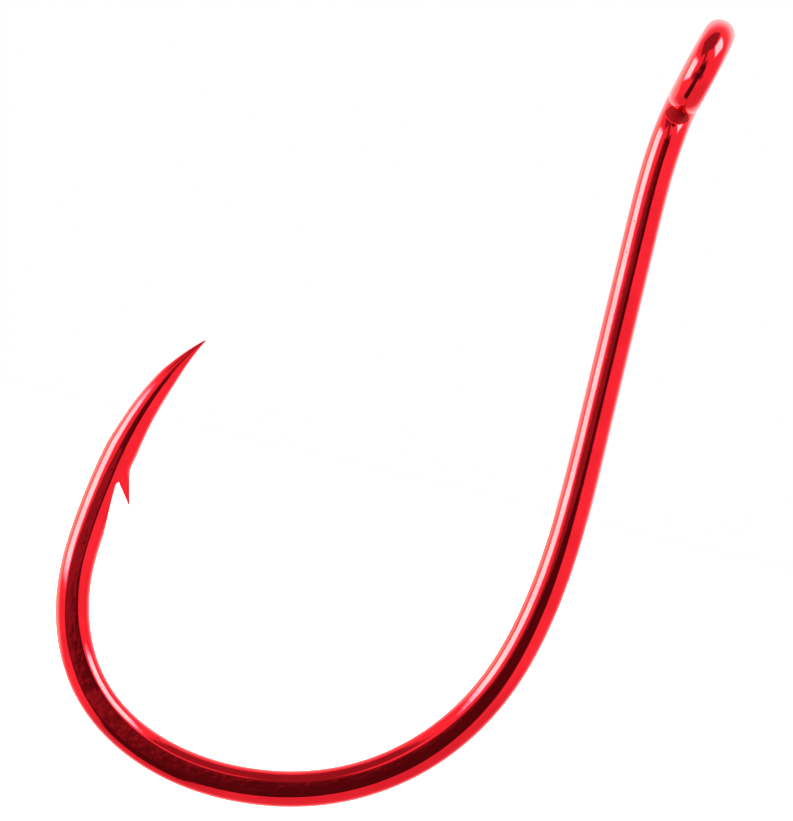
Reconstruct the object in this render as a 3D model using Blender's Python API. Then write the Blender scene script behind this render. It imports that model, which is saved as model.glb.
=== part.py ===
"""Single fishing hook with a turned-up ring eye, a forged round bend, a barb and a curved-in point.

The whole hook is one piece of wire, so it is one object. The wire is followed from the closed end
of its eye, over the top of the ring, down the shank, round the bend and up to the point.

Frame: the hook lies in the XZ plane, the shank runs along Z with the eye at the top, the point is
on the -X side and the origin is the centre of the eye. The eye is turned up towards +X.
Every length below is in millimetres until MM turns it into Blender's metres.
"""

import math

import bmesh
import bpy
import numpy as np
from mathutils import Vector

MM = 0.001

# The wire
WIRE_RADIUS = 0.617
EYE_WIRE_RADIUS = 0.595

# The ring eye, in the plane that holds the eye's own axis and Y
EYE_TURN_UP = 14.2  # degrees between the eye's axis and the shank
RING_RADIUS = 1.55  # centre of the eye to the middle of the wire
FAR_LIMB_ANGLE = 40.0  # degrees by which the limb that joins the neck leans in
NECK_RADIUS = 1.5  # the wire's own bend where it leaves the neck
CURL_START = 35.0  # degrees below the eye's centre where the closing side curls in more tightly
CURL_RADIUS = 0.9
CLOSING_LIMB = 0.26  # straight length that ends against the neck
CLOSING_THICKNESS = 0.32  # half of it: the wire is ground thinner here, at its closed end
CLOSING_TAPER = 1.7  # length over which it thins

# The rounding of the wire's closed end: distance beyond the limb, share of the wire's radius
CLOSED_END = (
    (0.22, 0.0),
    (0.19, 0.62),
    (0.13, 0.83),
    (0.06, 0.95),
)

# Stretches of the hook's centreline, from the centre of the eye to the point: length, then the
# radius of the bend at the stretch's end. The bend changes evenly along each stretch. A negative
# radius bends away from the point, and STRAIGHT is no bend.
STRAIGHT = math.inf
STRETCHES = (
    (1.00, STRAIGHT),  # the eye's own axis
    (0.20, -11.8),  # neck
    (0.45, -11.8),
    (4.75, STRAIGHT),
    (7.80, STRAIGHT),  # shank
    (4.50, 28.0),  # shank easing into the bend
    (3.00, 18.0),
    (2.20, 10.2),
    (3.70, 9.4),  # bend
    (3.70, 9.2),
    (3.30, 11.2),
    (3.70, 8.1),
    (3.20, 5.3),  # heel of the bend, its tightest place
    (2.40, 6.7),
    (2.20, 7.7),  # front leg
    (1.90, 30.0),
    (3.00, 20.0),  # barb
    (2.60, 12.0),  # point, curving in
    (2.50, 7.6),
)
HOOK_LENGTH = sum(length for length, radius in STRETCHES)

# Forging: distance from the eye's centre, half width in the hook's plane, half thickness across
# it, and half the width of the flat that the dies leave on each side
FORGING = (
    (13.8, WIRE_RADIUS, WIRE_RADIUS, 0.0),
    (20.1, 0.646, 0.585, 0.15),
    (28.1, 0.678, 0.525, 0.27),
    (37.1, 0.678, 0.525, 0.30),
    (41.6, 0.660, 0.525, 0.31),
    (46.1, 0.622, 0.565, 0.20),
    (49.8, 0.622, 0.580, 0.14),
    (52.1, 0.617, 0.590, 0.0),
)

# The point: a long cone and then a short steeper one, as distance back from the tip, half width
LONG_CONE = (5.05, 0.617)
SHORT_CONE = (1.93, 0.369)
TIP_RADIUS = 0.025
CONE_BLEND = 0.03

# The barb, a tongue cut up from the inner side: distances back from the tip of the point, and
# heights above the wire's centreline
BARB_JOIN = 5.70  # its outer face leaves the wire
BARB_APEX = 6.27  # the bottom of the cut under it
BARB_APEX_HEIGHT = 0.435
BARB_TOP_AT_APEX = 0.865
BARB_TIP = 7.02
BARB_TIP_HEIGHT = 1.17
RECESS_LOWEST = 6.42  # the hollow that the cut leaves
RECESS_HEIGHT = 0.367
RECESS_END = 8.30
EDGE_EASE = 1.5  # the hollow's edges run out over this length past its end
TONGUE_TAPER = 0.8  # below 1 the tongue keeps its width for longer before it narrows to its tip

# The finish, in linear light
LACQUER_RED = (0.80, 0.02, 0.05, 1.0)
GLOSS = 0.12
COAT_GLOSS = 0.04

# Fineness of the mesh
LINE_STEP = 0.01
TOUCHING = 1e-6  # distances closer than this are the same place
ARC_LOOPS = 23  # round the ring
CURL_LOOPS = 5
SHARP_EDGE = math.radians(35)
TONGUE_LOOPS = 4
LOOP_SPACING = (  # where each stretch of loops ends, from the eye's centre, and their spacing
    (4.9, 0.35),
    (13.8, 1.0),
    (17.1, 0.6),
    (HOOK_LENGTH - RECESS_END - EDGE_EASE, 0.42),
    (HOOK_LENGTH - RECESS_END, 0.3),
    (HOOK_LENGTH - BARB_APEX, 0.17),
    (HOOK_LENGTH - BARB_JOIN, 0.17),
    (HOOK_LENGTH - 2.33, 0.3),
    (HOOK_LENGTH - 1.53, 0.2),
    (HOOK_LENGTH - 0.35, 0.25),
    (HOOK_LENGTH, 0.18),
)
BARB_SEGMENTS = 6  # across the tongue
SIDE_SEGMENTS = 2  # from the tongue's edge to a flat, on the inner side
OUTER_SEGMENTS = 8
BARB_EDGE = math.acos(BARB_APEX_HEIGHT / WIRE_RADIUS)  # the tongue's edge on the round of the wire
NARROWEST_EDGE = math.radians(12)
ROUND_FLAT = math.radians(8)  # half the facet that stands for a flat on plain round wire


# ---------------------------------------------------------------- centreline

def hook_curve():
    """Distance, x, z and heading along the hook's plane, from the eye's centre to the point."""
    ends = np.cumsum([0.0] + [length for length, radius in STRETCHES])
    bends = [0.0] + [1.0 / radius for length, radius in STRETCHES]
    distance = np.linspace(0.0, HOOK_LENGTH, round(HOOK_LENGTH / LINE_STEP) + 1)
    bend = np.interp(distance, ends, bends)
    step = np.diff(distance)
    turn = np.cumsum(np.r_[0.0, (bend[1:] + bend[:-1]) / 2 * step])
    heading = math.radians(EYE_TURN_UP) + turn
    run_x = -np.sin(heading)
    run_z = -np.cos(heading)
    x = np.cumsum(np.r_[0.0, (run_x[1:] + run_x[:-1]) / 2 * step])
    z = np.cumsum(np.r_[0.0, (run_z[1:] + run_z[:-1]) / 2 * step])
    return distance, x, z, heading


CURVE = hook_curve()


def in_plane(distance):
    """Point, direction and inner normal of the centreline; above the eye it runs straight on."""
    table, xs, zs, headings = CURVE
    heading = np.interp(distance, table, headings)
    forward = Vector((-math.sin(heading), 0.0, -math.cos(heading)))
    inward = Vector((-math.cos(heading), 0.0, math.sin(heading)))
    point = Vector((np.interp(distance, table, xs), 0.0, np.interp(distance, table, zs)))
    return point + forward * min(distance, 0.0), forward, inward


def eye_route():
    """Points of the eye's wire, as (height above the eye's centre, offset along Y)."""
    curl = math.radians(CURL_START)
    curl_height = (CURL_RADIUS - RING_RADIUS) * math.sin(curl)
    curl_offset = (CURL_RADIUS - RING_RADIUS) * math.cos(curl)
    route = [(curl_height - CURL_RADIUS, curl_offset + CLOSING_LIMB)]
    for angle in np.linspace(math.pi / 2, curl, CURL_LOOPS, endpoint=False):
        height = curl_height - CURL_RADIUS * math.sin(angle)
        route.append((height, curl_offset - CURL_RADIUS * math.cos(angle)))
    far = math.radians(FAR_LIMB_ANGLE)
    for angle in np.linspace(-math.pi / 2 - curl, math.pi / 2 + far, ARC_LOOPS):
        route.append((RING_RADIUS * math.cos(angle), RING_RADIUS * math.sin(angle)))
    tangent_height = -RING_RADIUS * math.sin(far)
    tangent_offset = RING_RADIUS * math.cos(far)
    far_limb = (tangent_offset - NECK_RADIUS * (1 - math.cos(far))) / math.sin(far)
    for share in (1 / 3, 2 / 3):
        along = far_limb * share
        offset = tangent_offset - along * math.sin(far)
        route.append((tangent_height - along * math.cos(far), offset))
    neck_height = tangent_height - far_limb * math.cos(far) - NECK_RADIUS * math.sin(far)
    for angle in np.linspace(far, 0.0, 5):
        offset = NECK_RADIUS * (1 - math.cos(angle))
        route.append((neck_height + NECK_RADIUS * math.sin(angle), offset))
    return route


# ---------------------------------------------------------------- cross-section

def point_taper(back):
    """Half width of the ground point at a distance back from its tip."""
    long_slope = (LONG_CONE[1] - SHORT_CONE[1]) / (LONG_CONE[0] - SHORT_CONE[0])
    short_slope = (SHORT_CONE[1] - TIP_RADIUS) / SHORT_CONE[0]
    long_width = SHORT_CONE[1] + (back - SHORT_CONE[0]) * long_slope
    short_width = TIP_RADIUS + back * short_slope
    gap = long_width - short_width
    return (long_width + short_width - math.hypot(gap, CONE_BLEND)) / 2


def wire_size(distance):
    """Half width, half thickness and half flat of the wire at a distance from the eye's centre."""
    stations, widths, thicknesses, flats = zip(*FORGING)
    width = float(np.interp(distance, stations, widths))
    thick = float(np.interp(distance, stations, thicknesses))
    flat = float(np.interp(distance, stations, flats))
    share = min(1.0, point_taper(HOOK_LENGTH - distance) / width)
    return width * share, thick * share, flat * share


def recess_height(back):
    """Height of the hollow's floor above the centreline, or None where there is no hollow."""
    if not BARB_APEX <= back <= RECESS_END:
        return None
    if back < RECESS_LOWEST:
        share = (back - BARB_APEX) / (RECESS_LOWEST - BARB_APEX)
        return BARB_APEX_HEIGHT + (RECESS_HEIGHT - BARB_APEX_HEIGHT) * math.sin(share * math.pi / 2)
    share = (back - RECESS_LOWEST) / (RECESS_END - RECESS_LOWEST)
    return RECESS_HEIGHT + (WIRE_RADIUS - RECESS_HEIGHT) * share


def section(distance, barb_side=False):
    """Outline of the wire, as (inward, across) pairs, starting in the middle of a flat.

    barb_side picks the tongue's outline where the tongue and the hollow under it meet."""
    width, thick, flat = wire_size(distance)
    back = HOOK_LENGTH - distance
    flat = max(flat, width * math.sin(ROUND_FLAT))
    flat_edge = math.acos(flat / width)
    bulge = thick / math.sin(flat_edge)
    floor = None if barb_side else recess_height(back)
    barb_edge = BARB_EDGE
    if floor is not None:
        barb_edge = max(NARROWEST_EDGE, math.acos(min(1.0, floor / width)))
    elif RECESS_END < back < RECESS_END + EDGE_EASE:
        share = (back - RECESS_END) / EDGE_EASE
        barb_edge = NARROWEST_EDGE + (BARB_EDGE - NARROWEST_EDGE) * share
    lift = 0.0
    if BARB_JOIN < back <= BARB_APEX + TOUCHING and floor is None:
        share = (back - BARB_JOIN) / (BARB_APEX - BARB_JOIN)
        lift = (BARB_TOP_AT_APEX - width) * share
    outline = []
    tongue = np.linspace(-barb_edge, barb_edge, BARB_SEGMENTS + 1)
    side = np.linspace(barb_edge, flat_edge, SIDE_SEGMENTS + 1)
    for angle in tongue:
        inward = width * math.cos(angle)
        if floor is not None:
            inward = min(inward, floor)
        inward += lift * math.cos(angle / barb_edge * math.pi / 2) ** 2
        outline.append((inward, bulge * math.sin(angle)))
    for angle in side[1:]:
        outline.append((width * math.cos(angle), bulge * math.sin(angle)))
    for angle in np.linspace(math.pi - flat_edge, math.pi + flat_edge, OUTER_SEGMENTS + 1):
        outline.append((width * math.cos(angle), bulge * math.sin(angle)))
    for angle in -side[:0:-1]:
        outline.append((width * math.cos(angle), bulge * math.sin(angle)))
    return outline


# ---------------------------------------------------------------- mesh

def add_ring(mesh, centre, inward, across, outline):
    """Vertices in the plane across the wire at one place, from their (inward, across) pairs."""
    return [mesh.verts.new((centre + inward * n + across * y) * MM) for n, y in outline]


def bridge(mesh, first, second):
    """Faces between two loops with as many vertices each."""
    count = len(first)
    for i in range(count):
        j = (i + 1) % count
        mesh.faces.new((first[i], first[j], second[j], second[i]))


def cap(mesh, ring, centre, flip):
    """Close a loop with a fan of faces round one vertex."""
    pole = mesh.verts.new(centre * MM)
    count = len(ring)
    for i in range(count):
        j = (i + 1) % count
        mesh.faces.new((ring[j], ring[i], pole) if flip else (ring[i], ring[j], pole))


def eye_wire_size(travelled, share):
    """Half width and half thickness of the eye's wire, which is thinner at its closed end."""
    radius = EYE_WIRE_RADIUS + (WIRE_RADIUS - EYE_WIRE_RADIUS) * max(0.0, share - 0.5) * 2
    rest = 1 - min(1.0, travelled / CLOSING_TAPER)
    return radius, radius - (EYE_WIRE_RADIUS - CLOSING_THICKNESS) * rest**2


def eye_rings(mesh):
    """The eye's wire, from its rounded end against the neck to where it joins the shank."""
    route = eye_route()
    spots = []
    for height, offset in route:
        point, forward, inward = in_plane(-height)
        spots.append((point + Vector((0, offset, 0)), inward))
    rings = []
    travelled = 0.0
    for i, (point, inward) in enumerate(spots[:-1]):
        before = spots[max(i - 1, 0)][0]
        travelled += (point - before).length
        run = (spots[i + 1][0] - before).normalized()
        inward = (inward - run * inward.dot(run)).normalized()
        width, thick = eye_wire_size(travelled, i / (len(spots) - 1))
        shape = [(n * width / WIRE_RADIUS, y * thick / WIRE_RADIUS) for n, y in section(0.0)]
        across = run.cross(inward)
        if i == 0:
            for beyond, share in CLOSED_END[1:]:
                small = [(n * share, y * share) for n, y in shape]
                rings.append(add_ring(mesh, point - run * beyond, inward, across, small))
            cap(mesh, rings[0], point - run * CLOSED_END[0][0], True)
        rings.append(add_ring(mesh, point, inward, across, shape))
    return rings, -route[-1][0]


def hook_stations(start):
    """Distances of the loops along the hook, closer together where it bends or changes shape."""
    stations = [start]
    for last, spacing in LOOP_SPACING:
        first = stations[-1]
        count = max(1, round((last - first) / spacing))
        stations += list(np.linspace(first, last, count + 1)[1:])
    return stations


def barb_tongue(mesh, top, under, apex):
    """The free part of the barb, from the loop at the bottom of the cut to its tip."""
    edge = section(apex, barb_side=True)[: BARB_SEGMENTS + 1]
    half = edge[-1][1]
    low = edge[0][0]
    high = edge[BARB_SEGMENTS // 2][0]
    spread = [y / half for n, y in edge]
    rise = [(n - low) / (high - low) for n, y in edge]
    loop = top + under[::-1]
    for row in range(1, TONGUE_LOOPS):
        share = row / TONGUE_LOOPS
        back = BARB_APEX + (BARB_TIP - BARB_APEX) * share
        point, forward, inward = in_plane(HOOK_LENGTH - back)
        floor = BARB_APEX_HEIGHT + (BARB_TIP_HEIGHT - BARB_APEX_HEIGHT) * share
        crest = BARB_TOP_AT_APEX + (BARB_TIP_HEIGHT - BARB_TOP_AT_APEX) * share
        width = half * (1 - share) ** TONGUE_TAPER
        shape = [(floor + (crest - floor) * r, width * s) for r, s in zip(rise, spread)]
        shape += [(floor, width * s) for s in spread[-2:0:-1]]
        ring = add_ring(mesh, point, inward, forward.cross(inward), shape)
        bridge(mesh, ring, loop)
        loop = ring
    point, forward, inward = in_plane(HOOK_LENGTH - BARB_TIP)
    cap(mesh, loop, point + inward * BARB_TIP_HEIGHT, True)


def hook_mesh():
    """The whole wire as one closed mesh."""
    mesh = bmesh.new()
    rings, start = eye_rings(mesh)
    apex = HOOK_LENGTH - BARB_APEX
    for distance in hook_stations(start):
        point, forward, inward = in_plane(distance)
        across = forward.cross(inward)
        ring = add_ring(mesh, point, inward, across, section(distance))
        rings.append(ring)
        if abs(distance - apex) < TOUCHING:
            tongue = section(distance, barb_side=True)[1:BARB_SEGMENTS]
            raised = add_ring(mesh, point, inward, across, tongue)
            top = [ring[0]] + raised + [ring[BARB_SEGMENTS]]
            barb_tongue(mesh, top, ring[1:BARB_SEGMENTS], distance)
            rings.append([ring[0]] + raised + ring[BARB_SEGMENTS:])
    for first, second in zip(rings, rings[1:]):
        if first[0] is not second[0]:
            bridge(mesh, first, second)
    tip, forward, inward = in_plane(HOOK_LENGTH)
    cap(mesh, rings[-1], tip + forward * TIP_RADIUS, False)
    bmesh.ops.recalc_face_normals(mesh, faces=mesh.faces)
    return mesh


def red_lacquer():
    """Bright nickel under clear red lacquer."""
    material = bpy.data.materials.new("red_lacquered_steel")
    material.use_nodes = True
    shader = material.node_tree.nodes["Principled BSDF"]
    shader.inputs["Base Color"].default_value = LACQUER_RED
    shader.inputs["Metallic"].default_value = 1.0
    shader.inputs["Roughness"].default_value = GLOSS
    shader.inputs["Coat Weight"].default_value = 1.0
    shader.inputs["Coat Roughness"].default_value = COAT_GLOSS
    return material


def main():
    """The hook as the scene's only object."""
    for thing in list(bpy.data.objects):
        bpy.data.objects.remove(thing, do_unlink=True)
    data = bpy.data.meshes.new("hook")
    mesh = hook_mesh()
    mesh.to_mesh(data)
    mesh.free()
    data.shade_smooth()
    data.set_sharp_from_angle(angle=SHARP_EDGE)
    data.materials.append(red_lacquer())
    hook = bpy.data.objects.new("hook", data)
    bpy.context.scene.collection.objects.link(hook)


main()
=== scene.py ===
"""A single fishing hook in red lacquered steel: its looks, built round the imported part."""
import math

import bmesh
import bpy
import numpy as np
from mathutils import Matrix, Vector


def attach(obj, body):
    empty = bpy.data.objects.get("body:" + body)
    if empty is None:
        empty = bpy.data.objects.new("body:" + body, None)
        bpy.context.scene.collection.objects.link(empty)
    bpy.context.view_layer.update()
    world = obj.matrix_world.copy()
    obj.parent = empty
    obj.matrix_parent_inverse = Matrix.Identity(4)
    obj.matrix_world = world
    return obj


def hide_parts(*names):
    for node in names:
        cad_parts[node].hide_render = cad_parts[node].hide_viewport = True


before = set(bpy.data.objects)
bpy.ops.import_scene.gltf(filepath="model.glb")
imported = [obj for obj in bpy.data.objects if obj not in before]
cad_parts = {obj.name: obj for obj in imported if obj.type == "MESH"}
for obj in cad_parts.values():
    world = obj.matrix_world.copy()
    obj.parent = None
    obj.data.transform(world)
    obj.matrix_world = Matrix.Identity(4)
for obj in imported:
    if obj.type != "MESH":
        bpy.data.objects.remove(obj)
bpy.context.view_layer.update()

MM = 0.001

# ------------------------------------------------------------------ the wire's dimensions, in mm

WIRE_RADIUS = 0.617
EYE_WIRE_RADIUS = 0.595
EYE_TURN_UP = 14.2
RING_RADIUS = 1.55
FAR_LIMB_ANGLE = 40.0
NECK_RADIUS = 1.5
CURL_START = 35.0
CURL_RADIUS = 0.9
CLOSING_LIMB = 0.26
CLOSING_THICKNESS = 0.32
CLOSING_TAPER = 1.7
CLOSED_END = 0.22

STRAIGHT = math.inf

# Length of each stretch and the bend radius at its far end; the curvature changes evenly between
STRETCHES = (
    (1.00, STRAIGHT),
    (0.20, -11.8),
    (0.45, -11.8),
    (4.75, STRAIGHT),
    (7.80, STRAIGHT),
    (4.50, 28.0),
    (3.00, 18.0),
    (2.20, 10.2),
    (3.70, 9.4),
    (3.70, 9.2),
    (3.30, 11.2),
    (3.70, 8.1),
    (3.20, 5.3),
    (2.40, 6.7),
    (2.20, 7.7),
    (1.90, 30.0),
    (3.00, 20.0),
    (2.60, 12.0),
    (2.50, 7.6),
)
HOOK_LENGTH = sum(length for length, radius in STRETCHES)

# Distance from the eye's centre, half width, half thickness, half flat
FORGING = (
    (13.8, WIRE_RADIUS, WIRE_RADIUS, 0.0),
    (20.1, 0.646, 0.585, 0.15),
    (28.1, 0.678, 0.525, 0.27),
    (37.1, 0.678, 0.525, 0.30),
    (41.6, 0.660, 0.525, 0.31),
    (46.1, 0.622, 0.565, 0.20),
    (49.8, 0.622, 0.580, 0.14),
    (52.1, 0.617, 0.590, 0.0),
)
FLAT_ROUNDING = 0.02  # rounding of a flat's edges, as a share of the half flat

LONG_CONE = (5.05, 0.617)
SHORT_CONE = (1.93, 0.369)
TIP_RADIUS = 0.025
CONE_BLEND = 0.03

BARB_JOIN = 5.70
BARB_LEAVE = 0.40
BARB_APEX = 6.27
BARB_APEX_HEIGHT = 0.435
BARB_TOP_AT_APEX = 0.865
BARB_TIP = 7.02
BARB_TIP_HEIGHT = 1.17
RECESS_LOWEST = 6.42
RECESS_HEIGHT = 0.367
RECESS_END = 8.30
EDGE_EASE = 1.5
TONGUE_TAPER = 0.8

# Fineness of the mesh
LINE_STEP = 0.005
TONGUE_SEGMENTS = 14
SIDE_SEGMENTS = 5
EDGE_SEGMENTS = 3
FLAT_SEGMENTS = 3
OUTER_SEGMENTS = 11
TONGUE_LOOPS = 12
END_LOOPS = 9
ARC_LOOPS = 90
CURL_LOOPS = 24
LIMB_LOOPS = 9
NECK_LOOPS = 12
BARB_EDGE = math.acos(BARB_APEX_HEIGHT / WIRE_RADIUS)
NARROWEST_EDGE = math.radians(12)
LEAST_FLAT = math.radians(9)
EDGE_SPREAD = math.radians(4)
TOUCHING = 1e-6
SHARP_ANGLE = math.radians(32)
LOOP_SPACING = (
    (13.8, 0.15),
    (HOOK_LENGTH - RECESS_END - EDGE_EASE, 0.10),
    (HOOK_LENGTH - RECESS_END, 0.07),
    (HOOK_LENGTH - BARB_APEX, 0.05),
    (HOOK_LENGTH - BARB_JOIN + BARB_LEAVE, 0.04),
    (HOOK_LENGTH - 0.35, 0.07),
    (HOOK_LENGTH, 0.03),
)


# ------------------------------------------------------------------ the wire's centreline

def hook_curve():
    """Distance, x, z and heading along the hook's plane, from the eye's centre to the point."""
    ends = np.cumsum([0.0] + [length for length, radius in STRETCHES])
    bends = [0.0] + [1.0 / radius for length, radius in STRETCHES]
    distance = np.linspace(0.0, HOOK_LENGTH, round(HOOK_LENGTH / LINE_STEP) + 1)
    bend = np.interp(distance, ends, bends)
    step = np.diff(distance)
    heading = math.radians(EYE_TURN_UP) + np.cumsum(np.r_[0.0, (bend[1:] + bend[:-1]) / 2 * step])
    run_x, run_z = -np.sin(heading), -np.cos(heading)
    x = np.cumsum(np.r_[0.0, (run_x[1:] + run_x[:-1]) / 2 * step])
    z = np.cumsum(np.r_[0.0, (run_z[1:] + run_z[:-1]) / 2 * step])
    return distance, x, z, heading


CURVE = hook_curve()


def in_plane(distance):
    """Point, direction and inner normal of the centreline; above the eye it runs straight on."""
    table, xs, zs, headings = CURVE
    heading = np.interp(distance, table, headings)
    forward = Vector((-math.sin(heading), 0.0, -math.cos(heading)))
    inward = Vector((-math.cos(heading), 0.0, math.sin(heading)))
    point = Vector((np.interp(distance, table, xs), 0.0, np.interp(distance, table, zs)))
    return point + forward * min(distance, 0.0), forward, inward


def eye_route():
    """Points of the eye's wire, as (height above the eye's centre, offset along Y)."""
    curl = math.radians(CURL_START)
    curl_height = (CURL_RADIUS - RING_RADIUS) * math.sin(curl)
    curl_offset = (CURL_RADIUS - RING_RADIUS) * math.cos(curl)
    route = []
    for back in np.linspace(CLOSING_LIMB, 0.0, LIMB_LOOPS // 2, endpoint=False):
        route.append((curl_height - CURL_RADIUS, curl_offset + back))
    for angle in np.linspace(math.pi / 2, curl, CURL_LOOPS, endpoint=False):
        height = curl_height - CURL_RADIUS * math.sin(angle)
        route.append((height, curl_offset - CURL_RADIUS * math.cos(angle)))
    far = math.radians(FAR_LIMB_ANGLE)
    for angle in np.linspace(-math.pi / 2 - curl, math.pi / 2 + far, ARC_LOOPS):
        route.append((RING_RADIUS * math.cos(angle), RING_RADIUS * math.sin(angle)))
    tangent_height = -RING_RADIUS * math.sin(far)
    tangent_offset = RING_RADIUS * math.cos(far)
    far_limb = (tangent_offset - NECK_RADIUS * (1 - math.cos(far))) / math.sin(far)
    for along in np.linspace(0.0, far_limb, LIMB_LOOPS, endpoint=False)[1:]:
        offset = tangent_offset - along * math.sin(far)
        route.append((tangent_height - along * math.cos(far), offset))
    neck_height = tangent_height - far_limb * math.cos(far) - NECK_RADIUS * math.sin(far)
    for angle in np.linspace(far, 0.0, NECK_LOOPS):
        offset = NECK_RADIUS * (1 - math.cos(angle))
        route.append((neck_height + NECK_RADIUS * math.sin(angle), offset))
    return route


# ------------------------------------------------------------------ the wire's section

def point_taper(back):
    """Half width of the ground point at a distance back from its tip."""
    long_slope = (LONG_CONE[1] - SHORT_CONE[1]) / (LONG_CONE[0] - SHORT_CONE[0])
    short_slope = (SHORT_CONE[1] - TIP_RADIUS) / SHORT_CONE[0]
    long_width = SHORT_CONE[1] + (back - SHORT_CONE[0]) * long_slope
    short_width = TIP_RADIUS + back * short_slope
    return (long_width + short_width - math.hypot(long_width - short_width, CONE_BLEND)) / 2


def wire_size(distance):
    """Half width, half thickness and half flat of the wire at a distance from the eye's centre."""
    stations, widths, thicknesses, flats = zip(*FORGING)
    width = float(np.interp(distance, stations, widths))
    thick = float(np.interp(distance, stations, thicknesses))
    flat = float(np.interp(distance, stations, flats))
    share = min(1.0, point_taper(HOOK_LENGTH - distance) / width)
    return width * share, thick * share, flat * share


def recess_height(back):
    """Height of the hollow's floor above the centreline, or None where there is no hollow."""
    if not BARB_APEX <= back <= RECESS_END:
        return None
    if back < RECESS_LOWEST:
        share = (back - BARB_APEX) / (RECESS_LOWEST - BARB_APEX)
        return BARB_APEX_HEIGHT + (RECESS_HEIGHT - BARB_APEX_HEIGHT) * math.sin(share * math.pi / 2)
    share = (back - RECESS_LOWEST) / (RECESS_END - RECESS_LOWEST)
    return RECESS_HEIGHT + (WIRE_RADIUS - RECESS_HEIGHT) * share


def barb_lift(back, width):
    """How far the barb's outer face stands above the round wire."""
    slope = (BARB_TOP_AT_APEX - width) / (BARB_APEX - BARB_JOIN)
    risen = back - (BARB_JOIN - BARB_LEAVE / 2)
    if risen < BARB_LEAVE:
        return slope * max(0.0, risen) ** 2 / (2 * BARB_LEAVE)
    return slope * (risen - BARB_LEAVE / 2)


def loop_angles(flat_edge, barb_edge):
    """Angles round the section, from one edge of the barb's tongue all the way back to it."""
    low, high = flat_edge - EDGE_SPREAD, flat_edge + EDGE_SPREAD
    marks = (
        (0.0, barb_edge, TONGUE_SEGMENTS // 2),
        (barb_edge, low, SIDE_SEGMENTS),
        (low, high, EDGE_SEGMENTS),
        (high, math.pi - high, FLAT_SEGMENTS),
        (math.pi - high, math.pi - low, EDGE_SEGMENTS),
        (math.pi - low, math.pi, OUTER_SEGMENTS),
    )
    half = [0.0]
    for first, last, count in marks:
        half += list(np.linspace(first, last, count + 1)[1:])
    other = [-angle for angle in half[:0:-1]][1:]
    whole = half + other
    start = len(whole) - TONGUE_SEGMENTS // 2
    return np.array(whole[start:] + whole[:start])


def section(distance, barb_side=False):
    """Outline of the wire as rows of (inward, across); the tongue of the barb comes first."""
    width, thick, flat = wire_size(distance)
    back = HOOK_LENGTH - distance
    flat_angle = math.acos(flat / width)
    bulge = thick / math.sin(flat_angle)
    floor = None if barb_side else recess_height(back)
    barb_edge = BARB_EDGE
    if floor is not None:
        barb_edge = max(NARROWEST_EDGE, math.acos(min(1.0, floor / width)))
    elif RECESS_END < back < RECESS_END + EDGE_EASE:
        share = (back - RECESS_END) / EDGE_EASE
        barb_edge = NARROWEST_EDGE + (BARB_EDGE - NARROWEST_EDGE) * share
    angles = loop_angles(min(flat_angle, math.pi / 2 - LEAST_FLAT), barb_edge)
    inward = width * np.cos(angles)
    across = bulge * np.sin(angles)
    rounding = FLAT_ROUNDING * flat
    over = np.abs(across) - thick
    across = np.sign(across) * (thick + (over - np.hypot(over, rounding)) / 2)
    tongue = slice(0, TONGUE_SEGMENTS + 1)
    if floor is not None:
        inward[tongue] = np.minimum(inward[tongue], floor)
    elif BARB_JOIN - BARB_LEAVE / 2 < back <= BARB_APEX + TOUCHING:
        lift = barb_lift(back, width)
        inward[tongue] += lift * np.cos(angles[tongue] / barb_edge * math.pi / 2) ** 2
    return np.column_stack((inward, across))


# ------------------------------------------------------------------ the wire's mesh

class Wire:
    """A growing mesh that remembers each vertex's place along and across the wire."""

    def __init__(self):
        self.spots = []
        self.places = []
        self.faces = []

    def add_ring(self, distance, centre, inward, across, outline):
        first = len(self.spots)
        for n, y in outline:
            self.spots.append((centre + inward * float(n) + across * float(y)) * MM)
            self.places.append((distance, float(n), float(y)))
        return list(range(first, len(self.spots)))

    def bridge(self, first, second):
        for i in range(len(first)):
            j = (i + 1) % len(first)
            self.faces.append((first[i], first[j], second[j], second[i]))

    def cap(self, distance, ring, centre):
        pole = self.add_ring(distance, centre, Vector(), Vector(), ((0.0, 0.0),))[0]
        for i in range(len(ring)):
            self.faces.append((ring[i], ring[(i + 1) % len(ring)], pole))


def eye_wire_size(travelled, share):
    """Half width and half thickness of the eye's wire, which is thinner at its closed end."""
    radius = EYE_WIRE_RADIUS + (WIRE_RADIUS - EYE_WIRE_RADIUS) * max(0.0, share - 0.5) * 2
    rest = 1 - min(1.0, travelled / CLOSING_TAPER)
    return radius, radius - (EYE_WIRE_RADIUS - CLOSING_THICKNESS) * rest**2


def eye_rings(wire):
    """The eye's wire, from its rounded end against the neck to where it joins the shank."""
    route = eye_route()
    spots = []
    for height, offset in route:
        point, forward, inward = in_plane(-height)
        spots.append((point + Vector((0, offset, 0)), inward))
    round_wire = section(0.0) / WIRE_RADIUS
    rings = []
    wire_length = sum((b[0] - a[0]).length for a, b in zip(spots, spots[1:]))
    to_shank = wire_length + route[-1][0]
    travelled = 0.0
    for i, (point, inward) in enumerate(spots[:-1]):
        before = spots[max(i - 1, 0)][0]
        travelled += (point - before).length
        run = (spots[i + 1][0] - before).normalized()
        inward = (inward - run * inward.dot(run)).normalized()
        across = run.cross(inward)
        outline = round_wire * eye_wire_size(travelled, travelled / wire_length)
        if i == 0:
            for angle in np.linspace(math.pi / 2, 0.0, END_LOOPS, endpoint=False)[1:]:
                small = outline * math.cos(angle)
                centre = point - run * CLOSED_END * math.sin(angle)
                rings.append(wire.add_ring(-to_shank, centre, inward, across, small))
            wire.cap(-to_shank, rings[0], point - run * CLOSED_END)
        rings.append(wire.add_ring(travelled - to_shank, point, inward, across, outline))
    return rings, -route[-1][0]


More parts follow.
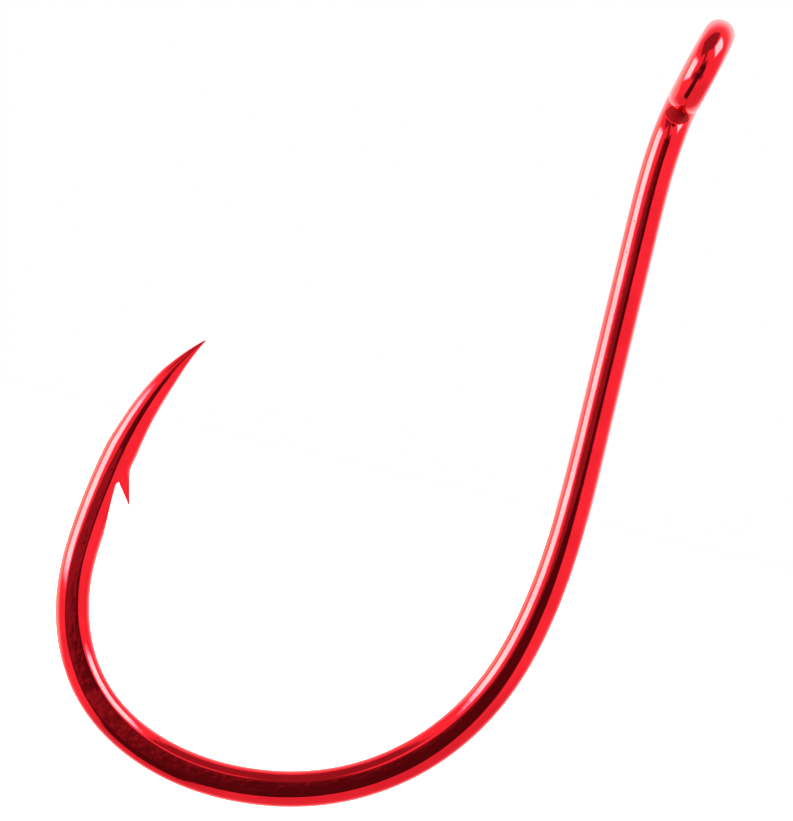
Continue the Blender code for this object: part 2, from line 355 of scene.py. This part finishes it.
def hook_stations(start):
    """Distances of the loops along the hook, closer together where it changes shape."""
    stations = [start]
    for last, spacing in LOOP_SPACING:
        count = max(1, round((last - stations[-1]) / spacing))
        stations += list(np.linspace(stations[-1], last, count + 1)[1:])
    return stations


def barb_tongue(wire, top, under, apex):
    """The free part of the barb, from the loop at the bottom of the cut to its tip."""
    edge = section(apex, barb_side=True)[: TONGUE_SEGMENTS + 1]
    low, high = edge[0][0], edge[TONGUE_SEGMENTS // 2][0]
    spread = edge[:, 1] / edge[-1][1]
    rise = (edge[:, 0] - low) / (high - low)
    loop = top + under[::-1]
    for row in range(1, TONGUE_LOOPS):
        share = row / TONGUE_LOOPS
        back = BARB_APEX + (BARB_TIP - BARB_APEX) * share
        point, forward, inward = in_plane(HOOK_LENGTH - back)
        floor = BARB_APEX_HEIGHT + (BARB_TIP_HEIGHT - BARB_APEX_HEIGHT) * share
        crest = BARB_TOP_AT_APEX + (BARB_TIP_HEIGHT - BARB_TOP_AT_APEX) * share
        width = edge[-1][1] * (1 - share) ** TONGUE_TAPER
        upper = np.column_stack((floor + (crest - floor) * rise, width * spread))
        lower = np.column_stack((np.full(len(spread) - 2, floor), width * spread[-2:0:-1]))
        outline = np.vstack((upper, lower))
        ring = wire.add_ring(HOOK_LENGTH - back, point, inward, forward.cross(inward), outline)
        wire.bridge(ring, loop)
        loop = ring
    point, forward, inward = in_plane(HOOK_LENGTH - BARB_TIP)
    wire.cap(HOOK_LENGTH - BARB_TIP, loop, point + inward * BARB_TIP_HEIGHT)


def hook_wire():
    """The whole hook as one closed mesh object."""
    wire = Wire()
    rings, start = eye_rings(wire)
    apex = HOOK_LENGTH - BARB_APEX
    for distance in hook_stations(start):
        point, forward, inward = in_plane(distance)
        across = forward.cross(inward)
        ring = wire.add_ring(distance, point, inward, across, section(distance))
        rings.append(ring)
        if abs(distance - apex) < TOUCHING:
            tongue = section(distance, barb_side=True)[1:TONGUE_SEGMENTS]
            raised = wire.add_ring(distance, point, inward, across, tongue)
            top = [ring[0]] + raised + [ring[TONGUE_SEGMENTS]]
            barb_tongue(wire, top, ring[1:TONGUE_SEGMENTS], distance)
            rings.append([ring[0]] + raised + ring[TONGUE_SEGMENTS:])
    for first, second in zip(rings, rings[1:]):
        if first[0] != second[0]:
            wire.bridge(first, second)
    tip, forward, inward = in_plane(HOOK_LENGTH)
    wire.cap(HOOK_LENGTH, rings[-1], tip + forward * TIP_RADIUS)
    return smooth_object(wire, "hook_wire")


def smooth_object(wire, name):
    """The grown mesh as a smooth object with its faces turned outward."""
    data = bpy.data.meshes.new(name)
    data.from_pydata(wire.spots, [], wire.faces)
    place = data.attributes.new("wire_place", "FLOAT_VECTOR", "POINT")
    place.data.foreach_set("vector", np.array(wire.places, np.float32).ravel())
    mesh = bmesh.new()
    mesh.from_mesh(data)
    bmesh.ops.recalc_face_normals(mesh, faces=mesh.faces)
    mesh.to_mesh(data)
    mesh.free()
    data.shade_smooth()
    data.set_sharp_from_angle(angle=SHARP_ANGLE)
    thing = bpy.data.objects.new(name, data)
    bpy.context.scene.collection.objects.link(thing)
    return thing


# ------------------------------------------------------------------ materials

RED = (0.88, 0.018, 0.030, 1.0)
DEEPER_RED = (0.80, 0.015, 0.026, 1.0)
SPECK_RED = (0.12, 0.003, 0.004, 1.0)
# Painted shade: a dark red for the crevice under the eye's closed end, with its place, size and
# roughness
CREVICE_SHADE_RED = (0.11, 0.0012, 0.0035, 1.0)
CREVICE_SHADE_AT = 2.0  # how far down the wire from the eye's centre the painted crevice shade lies, in mm
CREVICE_SHADE_SHORTENING = 1.3
CREVICE_SHADE_RADIUS = 0.52
CREVICE_SHADE_EDGE = 0.03
LACQUER_ROUGHNESS = (0.055, 0.105)
CREVICE_SHADE_ROUGHNESS = 0.6
SPECK_ROUGHNESS = 0.35
LACQUER_RELIEF = 0.012 * MM
FLOOR_GREYS = ((0.90, 0.90, 0.90, 1.0), (0.93, 0.93, 0.93, 1.0))


class Nodes:
    """Small helper that adds nodes to a material or world and links them."""

    def __init__(self, owner):
        owner.use_nodes = True
        self.tree = owner.node_tree

    def add(self, kind, **settings):
        node = self.tree.nodes.new("ShaderNode" + kind)
        for name, value in settings.items():
            setattr(node, name, value)
        return node

    def feed(self, socket, value):
        if isinstance(value, bpy.types.NodeSocket):
            self.tree.links.new(value, socket)
        else:
            socket.default_value = value

    def math(self, operation, *values):
        node = self.add("Math", operation=operation)
        for socket, value in zip(node.inputs, values):
            self.feed(socket, value)
        return node.outputs[0]

    def dot(self, vector, axis):
        node = self.add("VectorMath", operation="DOT_PRODUCT")
        self.feed(node.inputs[0], vector)
        node.inputs[1].default_value = axis
        return node.outputs["Value"]

    def ease(self, value, low, high):
        """0 below low, 1 above high and smooth in between; low may be above high."""
        node = self.add("MapRange", interpolation_type="SMOOTHSTEP")
        self.feed(node.inputs["Value"], value)
        if low > high:
            node.inputs["From Min"].default_value = high
            node.inputs["From Max"].default_value = low
            node.inputs["To Min"].default_value = 1.0
            node.inputs["To Max"].default_value = 0.0
        else:
            node.inputs["From Min"].default_value = low
            node.inputs["From Max"].default_value = high
        return node.outputs["Result"]

    def mix(self, factor, first, second):
        """A number between two numbers."""
        node = self.add("Mix", data_type="FLOAT")
        self.feed(node.inputs[0], factor)
        self.feed(node.inputs[2], first)
        self.feed(node.inputs[3], second)
        return node.outputs[0]

    def mix_colour(self, factor, first, second):
        node = self.add("Mix", data_type="RGBA")
        self.feed(node.inputs[0], factor)
        self.feed(node.inputs[6], first)
        self.feed(node.inputs[7], second)
        return node.outputs[2]

    def noise(self, vector, scale, detail=2.0, stretch=(1, 1, 1)):
        mapping = self.add("Mapping")
        self.feed(mapping.inputs["Vector"], vector)
        mapping.inputs["Scale"].default_value = stretch
        node = self.add("TexNoise")
        self.feed(node.inputs["Vector"], mapping.outputs["Vector"])
        node.inputs["Scale"].default_value = scale
        node.inputs["Detail"].default_value = detail
        return node.outputs["Fac"]


def painted_crevice_shade(n, place, ripple):
    """1 where shade is painted on the neck as a dark, matt red, in the crevice under the wire's
    closed end.

    place is along the wire, inward and across, in mm, so the painted shade is a disc on one side of
    it.
    """
    parts = n.add("SeparateXYZ")
    n.feed(parts.inputs[0], place)
    along, inward, across = parts.outputs
    along = n.math("MULTIPLY", n.math("SUBTRACT", along, CREVICE_SHADE_AT), CREVICE_SHADE_SHORTENING)
    squares = n.math("ADD", n.math("MULTIPLY", along, along), n.math("MULTIPLY", inward, inward))
    reach = n.math("ADD", n.math("SQRT", squares), n.math("MULTIPLY", ripple, 0.1))
    disc = n.ease(reach, CREVICE_SHADE_RADIUS + CREVICE_SHADE_EDGE, CREVICE_SHADE_RADIUS - CREVICE_SHADE_EDGE)
    return n.math("MULTIPLY", disc, n.ease(across, -0.1, -0.2))


def red_lacquered_steel():
    """Bright nickel-plated wire under clear red lacquer, with dust specks and a matter patch of
    painted shade in the crevice under the eye's closed end.
    """
    material = bpy.data.materials.new("red_lacquered_steel")
    n = Nodes(material)
    shader = n.tree.nodes["Principled BSDF"]
    place = n.add("Attribute", attribute_name="wire_place").outputs["Vector"]

    streaks = n.noise(place, 9.0, 2.0, (0.05, 1.0, 1.0))
    thickness = n.noise(place, 0.55, 3.0)
    peel = n.noise(place, 5.0, 1.0, (0.6, 1.0, 1.0))
    dust = n.noise(place, 4.2, 1.0)

    colour = n.mix_colour(n.ease(thickness, 0.38, 0.66), RED, DEEPER_RED)
    # Painted shade: the neck turns dark, matt and not metallic in the crevice under the eye's
    # closed end
    crevice_shade = painted_crevice_shade(n, place, streaks)
    colour = n.mix_colour(crevice_shade, colour, CREVICE_SHADE_RED)
    speck = n.ease(dust, 0.235, 0.205)
    colour = n.mix_colour(n.math("MULTIPLY", speck, 0.75), colour, SPECK_RED)
    n.feed(shader.inputs["Base Color"], colour)

    roughness = n.mix(streaks, *LACQUER_ROUGHNESS)
    roughness = n.mix(crevice_shade, roughness, CREVICE_SHADE_ROUGHNESS)
    roughness = n.mix(speck, roughness, SPECK_ROUGHNESS)
    n.feed(shader.inputs["Roughness"], roughness)

    height = n.math("ADD", peel, n.math("MULTIPLY", streaks, 0.35))
    height = n.math("SUBTRACT", height, n.math("MULTIPLY", speck, 0.8))
    bump = n.add("Bump")
    bump.inputs["Strength"].default_value = 0.2
    bump.inputs["Distance"].default_value = LACQUER_RELIEF
    n.feed(bump.inputs["Height"], height)
    n.feed(shader.inputs["Normal"], bump.outputs["Normal"])

    n.feed(shader.inputs["Metallic"], n.math("SUBTRACT", 1.0, crevice_shade))
    shader.inputs["Specular IOR Level"].default_value = 0.02
    return material


def pale_floor():
    """Matt pale grey with a fine grain."""
    material = bpy.data.materials.new("pale_floor")
    n = Nodes(material)
    shader = n.tree.nodes["Principled BSDF"]
    place = n.add("TexCoord").outputs["Object"]
    grain = n.noise(place, 400.0, 3.0)
    colour = n.mix_colour(grain, *FLOOR_GREYS)
    n.feed(shader.inputs["Base Color"], colour)
    shader.inputs["Roughness"].default_value = 0.8
    shader.inputs["Specular IOR Level"].default_value = 0.0
    return material


# ------------------------------------------------------------------ studio

CAMERA_LEAN = math.radians(13.567)  # roll that leans the shank to the right
LENS = 300.0
SENSOR = 36.0
FRAME_HEIGHT = 30.47 * MM  # what the picture's height spans at the hook
AIM = Vector((-7.982, 0.0, -14.842)) * MM
FLOOR_HEIGHT = -45.0 * MM
FLOOR_SIZE = 6.0

RIGHT = Vector((math.cos(CAMERA_LEAN), 0.0, math.sin(CAMERA_LEAN)))
UP = Vector((-math.sin(CAMERA_LEAN), 0.0, math.cos(CAMERA_LEAN)))
TO_CAMERA = Vector((0.0, -1.0, 0.0))

# Brightness of the tent, and of its parts where the ray's height or depth passes a level
TENT = 1.12
UNDERSIDE = (-0.45, -0.7, 0.9)
BACK = (-0.36, -0.6, 2.2)
BACK_CENTRE = (-0.80, -0.90, 1.2)
FILL_LIGHT = 1.15
BACKDROP = 1.0
WHITE = (1.0, 1.0, 1.0, 1.0)
WARM = (1.0, 1.0, 0.60, 1.0)

# Turn, off, half sizes outward and round, soft edge (degrees) and brightness; later ones cover
CARDS = (
    (90, 72, 25, 31, 6, 0.37),
    (180, 13, 27, 9, 5, 0.34),
    (-52, 18, 17, 8, 5, 0.36),
    (0, 2, 20, 19, 6, 0.36),
    (94, 32, 18, 7, 5, 0.37),
    (235, 41, 33.5, 14, 4, 0.10),
    (90, 9.5, 6.5, 10, 3, 0.14),
    (-45, 8.1, 7.9, 16, 0.8, 0.09),
)
SOFTBOXES = (
    (165, 112, 15, 26, 12, 5.0),
    (155, 71.5, 19, 15, 8, 36.0),
    (31.5, 72.5, 16, 16, 8, 36.0),
)


def studio_axes(turn, off):
    """A direction off degrees away from the camera, turned anticlockwise from the picture's right,
    with the directions away from the camera and round it that frame a card there."""
    turn, off = math.radians(turn), math.radians(off)
    side = RIGHT * math.cos(turn) + UP * math.sin(turn)
    centre = TO_CAMERA * math.cos(off) + side * math.sin(off)
    outward = side * math.cos(off) - TO_CAMERA * math.sin(off)
    return centre, outward, UP * math.cos(turn) - RIGHT * math.sin(turn)


def card(n, ray, axes, half_out, half_round, edge):
    """1 where a ray meets a flat card far away, 0 elsewhere. Half sizes and edge in degrees."""
    centre, outward, roundward = axes
    depth = n.dot(ray, centre)
    masks = [n.ease(depth, 0.05, 0.1)]
    depth = n.math("MAXIMUM", depth, 0.05)
    for axis, half in ((outward, half_out), (roundward, half_round)):
        reach = n.math("ABSOLUTE", n.math("DIVIDE", n.dot(ray, axis), depth))
        outer = math.tan(math.radians(half + edge / 2))
        inner = math.tan(math.radians(max(0.0, half - edge / 2)))
        masks.append(n.ease(reach, outer, inner))
    return n.math("MULTIPLY", n.math("MULTIPLY", masks[0], masks[1]), masks[2])


def studio_light():
    """A white tent round the hook, brighter behind it, with dark cards and warm softboxes."""
    world = bpy.data.worlds.new("studio")
    bpy.context.scene.world = world
    n = Nodes(world)
    ray = n.add("TexCoord").outputs["Generated"]
    height = n.dot(ray, UP)
    depth = n.dot(ray, TO_CAMERA)

    light = TENT
    for measure, (start, full, level) in ((height, UNDERSIDE), (depth, BACK), (depth, BACK_CENTRE)):
        light = n.mix(n.ease(measure, start, full), light, level)
    for turn, off, half_out, half_round, edge, level in CARDS:
        mask = card(n, ray, studio_axes(turn, off), half_out, half_round, edge)
        light = n.mix(mask, light, level)
    warm = 0.0
    for turn, off, half_out, half_round, edge, level in SOFTBOXES:
        mask = card(n, ray, studio_axes(turn, off), half_out, half_round, edge)
        light = n.mix(mask, light, level)
        warm = n.math("MAXIMUM", warm, mask)

    path = n.add("LightPath")
    light = n.mix(path.outputs["Is Diffuse Ray"], light, FILL_LIGHT)
    light = n.mix(path.outputs["Is Camera Ray"], light, BACKDROP)
    plain = n.math("MAXIMUM", path.outputs["Is Diffuse Ray"], path.outputs["Is Camera Ray"])
    warm = n.math("MULTIPLY", warm, n.math("SUBTRACT", 1.0, plain))
    background = n.tree.nodes["Background"]
    n.feed(background.inputs["Strength"], light)
    n.feed(background.inputs["Color"], n.mix_colour(warm, WHITE, WARM))


def studio_floor():
    """A large pale floor under the hanging hook."""
    bpy.ops.mesh.primitive_plane_add(size=FLOOR_SIZE, location=(0.0, 0.0, FLOOR_HEIGHT))
    floor = bpy.context.object
    floor.name = "floor"
    floor.data.materials.append(pale_floor())
    floor.visible_glossy = False


def studio_camera():
    """A level camera in front of the hook's plane, rolled so that the shank leans right."""
    data = bpy.data.cameras.new("camera")
    data.lens = LENS
    data.sensor_width = SENSOR
    data.clip_start = 0.001
    data.clip_end = 20.0
    camera = bpy.data.objects.new("camera", data)
    bpy.context.scene.collection.objects.link(camera)
    away = FRAME_HEIGHT * LENS / SENSOR
    camera.matrix_world = Matrix((
        (RIGHT.x, UP.x, TO_CAMERA.x, AIM.x),
        (RIGHT.y, UP.y, TO_CAMERA.y, AIM.y - away),
        (RIGHT.z, UP.z, TO_CAMERA.z, AIM.z),
        (0.0, 0.0, 0.0, 1.0),
    ))
    bpy.context.scene.camera = camera


hook = hook_wire()
hook.data.materials.append(red_lacquered_steel())
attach(hook, "root")
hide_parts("hook")

studio_floor()
studio_light()
studio_camera()
bpy.context.scene.view_settings.view_transform = "Standard"
